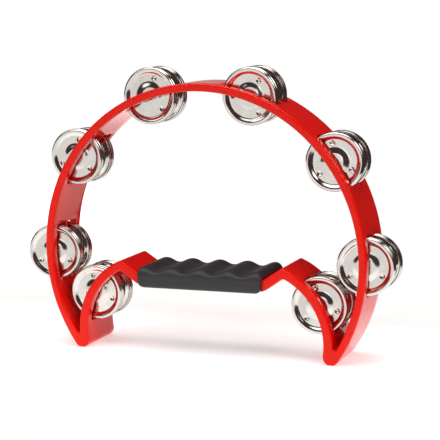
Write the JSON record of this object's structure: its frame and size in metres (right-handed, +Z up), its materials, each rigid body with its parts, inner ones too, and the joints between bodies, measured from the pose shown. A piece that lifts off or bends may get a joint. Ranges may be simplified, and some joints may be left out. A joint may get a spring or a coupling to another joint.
{
  "type": "tambourine",
  "caption": "Half-moon hand tambourine: open ring frame with a cutaway and a cranked handle in a rubber sleeve; plated jingle discs slide on pins in windows through the walls.",
  "frame": {"origin": "middle of the footprint, on the plane that the two horn tips stand on", "axes": "+X across the instrument to the right as seen from the playing side, +Y from the playing side to the back, +Z up from the horn tips to the top of the ring"},
  "size_m": [0.298, 0.0546, 0.2176],
  "materials": {
    "frame_plastic": "gloss moulded red plastic",
    "grip_rubber": "satin moulded black rubber",
    "jingle_plated": "stamped steel disc, bright nickel plating",
    "pin_steel": "plain drawn steel pin"
  },
  "bodies": {
    "frame": {"frame": "frame_plastic", "grip": "grip_rubber", "pin_top_left": "pin_steel", "pin_top_right": "pin_steel", "pin_upper_left": "pin_steel", "pin_upper_right": "pin_steel", "pin_side_left": "pin_steel", "pin_side_right": "pin_steel", "pin_horn_left": "pin_steel", "pin_horn_right": "pin_steel"},
    "jingle_top_left_1": {"jingle_top_left_1": "jingle_plated"},
    "jingle_top_left_2": {"jingle_top_left_2": "jingle_plated"},
    "jingle_top_left_3": {"jingle_top_left_3": "jingle_plated"},
    "jingle_top_left_4": {"jingle_top_left_4": "jingle_plated"},
    "jingle_top_right_1": {"jingle_top_right_1": "jingle_plated"},
    "jingle_top_right_2": {"jingle_top_right_2": "jingle_plated"},
    "jingle_top_right_3": {"jingle_top_right_3": "jingle_plated"},
    "jingle_top_right_4": {"jingle_top_right_4": "jingle_plated"},
    "jingle_upper_left_1": {"jingle_upper_left_1": "jingle_plated"},
    "jingle_upper_left_2": {"jingle_upper_left_2": "jingle_plated"},
    "jingle_upper_left_3": {"jingle_upper_left_3": "jingle_plated"},
    "jingle_upper_left_4": {"jingle_upper_left_4": "jingle_plated"},
    "jingle_upper_right_1": {"jingle_upper_right_1": "jingle_plated"},
    "jingle_upper_right_2": {"jingle_upper_right_2": "jingle_plated"},
    "jingle_upper_right_3": {"jingle_upper_right_3": "jingle_plated"},
    "jingle_upper_right_4": {"jingle_upper_right_4": "jingle_plated"},
    "jingle_side_left_1": {"jingle_side_left_1": "jingle_plated"},
    "jingle_side_left_2": {"jingle_side_left_2": "jingle_plated"},
    "jingle_side_left_3": {"jingle_side_left_3": "jingle_plated"},
    "jingle_side_left_4": {"jingle_side_left_4": "jingle_plated"},
    "jingle_side_right_1": {"jingle_side_right_1": "jingle_plated"},
    "jingle_side_right_2": {"jingle_side_right_2": "jingle_plated"},
    "jingle_side_right_3": {"jingle_side_right_3": "jingle_plated"},
    "jingle_side_right_4": {"jingle_side_right_4": "jingle_plated"},
    "jingle_horn_left_1": {"jingle_horn_left_1": "jingle_plated"},
    "jingle_horn_left_2": {"jingle_horn_left_2": "jingle_plated"},
    "jingle_horn_left_3": {"jingle_horn_left_3": "jingle_plated"},
    "jingle_horn_left_4": {"jingle_horn_left_4": "jingle_plated"},
    "jingle_horn_right_1": {"jingle_horn_right_1": "jingle_plated"},
    "jingle_horn_right_2": {"jingle_horn_right_2": "jingle_plated"},
    "jingle_horn_right_3": {"jingle_horn_right_3": "jingle_plated"},
    "jingle_horn_right_4": {"jingle_horn_right_4": "jingle_plated"}
  },
  "joints": [
    {"name": "slide_top_left_1", "type": "slide", "parent": "frame", "child": "jingle_top_left_1", "axis": [0, 1, 0], "range_m": [-0.00033, 0.00473]},
    {"name": "clash_top_left_2", "type": "slide", "parent": "jingle_top_left_1", "child": "jingle_top_left_2", "axis": [0, 1, 0], "range_m": [-0.0003, 0.0006]},
    {"name": "slide_top_left_3", "type": "slide", "parent": "frame", "child": "jingle_top_left_3", "axis": [0, 1, 0], "range_m": [-0.00037, 0.00477]},
    {"name": "clash_top_left_4", "type": "slide", "parent": "jingle_top_left_3", "child": "jingle_top_left_4", "axis": [0, 1, 0], "range_m": [-0.0003, 0.0006]},
    {"name": "slide_top_right_1", "type": "slide", "parent": "frame", "child": "jingle_top_right_1", "axis": [0, 1, 0], "range_m": [-0.00029, 0.00469]},
    {"name": "clash_top_right_2", "type": "slide", "parent": "jingle_top_right_1", "child": "jingle_top_right_2", "axis": [0, 1, 0], "range_m": [-0.0003, 0.0006]},
    {"name": "slide_top_right_3", "type": "slide", "parent": "frame", "child": "jingle_top_right_3", "axis": [0, 1, 0], "range_m": [-0.00037, 0.00477]},
    {"name": "clash_top_right_4", "type": "slide", "parent": "jingle_top_right_3", "child": "jingle_top_right_4", "axis": [0, 1, 0], "range_m": [-0.0003, 0.0006]},
    {"name": "slide_upper_left_1", "type": "slide", "parent": "frame", "child": "jingle_upper_left_1", "axis": [0, 1, 0], "range_m": [-0.00033, 0.00473]},
    {"name": "clash_upper_left_2", "type": "slide", "parent": "jingle_upper_left_1", "child": "jingle_upper_left_2", "axis": [0, 1, 0], "range_m": [-0.0003, 0.0006]},
    {"name": "slide_upper_left_3", "type": "slide", "parent": "frame", "child": "jingle_upper_left_3", "axis": [0, 1, 0], "range_m": [-0.00029, 0.00469]},
    {"name": "clash_upper_left_4", "type": "slide", "parent": "jingle_upper_left_3", "child": "jingle_upper_left_4", "axis": [0, 1, 0], "range_m": [-0.0003, 0.0006]},
    {"name": "slide_upper_right_1", "type": "slide", "parent": "frame", "child": "jingle_upper_right_1", "axis": [0, 1, 0], "range_m": [-0.0001, 0.0043]},
    {"name": "clash_upper_right_2", "type": "slide", "parent": "jingle_upper_right_1", "child": "jingle_upper_right_2", "axis": [0, 1, 0], "range_m": [-0.0003, 0.0006]},
    {"name": "slide_upper_right_3", "type": "slide", "parent": "frame", "child": "jingle_upper_right_3", "axis": [0, 1, 0], "range_m": [-0.00033, 0.00473]},
    {"name": "clash_upper_right_4", "type": "slide", "parent": "jingle_upper_right_3", "child": "jingle_upper_right_4", "axis": [0, 1, 0], "range_m": [-0.0003, 0.0006]},
    {"name": "slide_side_left_1", "type": "slide", "parent": "frame", "child": "jingle_side_left_1", "axis": [0, 1, 0], "range_m": [-0.0001, 0.0038]},
    {"name": "clash_side_left_2", "type": "slide", "parent": "jingle_side_left_1", "child": "jingle_side_left_2", "axis": [0, 1, 0], "range_m": [-0.0003, 0.0006]},
    {"name": "slide_side_left_3", "type": "slide", "parent": "frame", "child": "jingle_side_left_3", "axis": [0, 1, 0], "range_m": [-0.00025, 0.00465]},
    {"name": "clash_side_left_4", "type": "slide", "parent": "jingle_side_left_3", "child": "jingle_side_left_4", "axis": [0, 1, 0], "range_m": [-0.0003, 0.0006]},
    {"name": "slide_side_right_1", "type": "slide", "parent": "frame", "child": "jingle_side_right_1", "axis": [0, 1, 0], "range_m": [-0.0001, 0.00446]},
    {"name": "clash_side_right_2", "type": "slide", "parent": "jingle_side_right_1", "child": "jingle_side_right_2", "axis": [0, 1, 0], "range_m": [-0.0003, 0.0006]},
    {"name": "slide_side_right_3", "type": "slide", "parent": "frame", "child": "jingle_side_right_3", "axis": [0, 1, 0], "range_m": [-0.00037, 0.00477]},
    {"name": "clash_side_right_4", "type": "slide", "parent": "jingle_side_right_3", "child": "jingle_side_right_4", "axis": [0, 1, 0], "range_m": [-0.0003, 0.0006]},
    {"name": "slide_horn_left_1", "type": "slide", "parent": "frame", "child": "jingle_horn_left_1", "axis": [0, 1, 0], "range_m": [-0.00033, 0.00473]},
    {"name": "clash_horn_left_2", "type": "slide", "parent": "jingle_horn_left_1", "child": "jingle_horn_left_2", "axis": [0, 1, 0], "range_m": [-0.0003, 0.0006]},
    {"name": "slide_horn_left_3", "type": "slide", "parent": "frame", "child": "jingle_horn_left_3", "axis": [0, 1, 0], "range_m": [-0.00033, 0.00473]},
    {"name": "clash_horn_left_4", "type": "slide", "parent": "jingle_horn_left_3", "child": "jingle_horn_left_4", "axis": [0, 1, 0], "range_m": [-0.0003, 0.0006]},
    {"name": "slide_horn_right_1", "type": "slide", "parent": "frame", "child": "jingle_horn_right_1", "axis": [0, 1, 0], "range_m": [-0.0001, 0.00446]},
    {"name": "clash_horn_right_2", "type": "slide", "parent": "jingle_horn_right_1", "child": "jingle_horn_right_2", "axis": [0, 1, 0], "range_m": [-0.0003, 0.0006]},
    {"name": "slide_horn_right_3", "type": "slide", "parent": "frame", "child": "jingle_horn_right_3", "axis": [0, 1, 0], "range_m": [-0.00037, 0.00477]},
    {"name": "clash_horn_right_4", "type": "slide", "parent": "jingle_horn_right_3", "child": "jingle_horn_right_4", "axis": [0, 1, 0], "range_m": [-0.0003, 0.0006]}
  ]
}
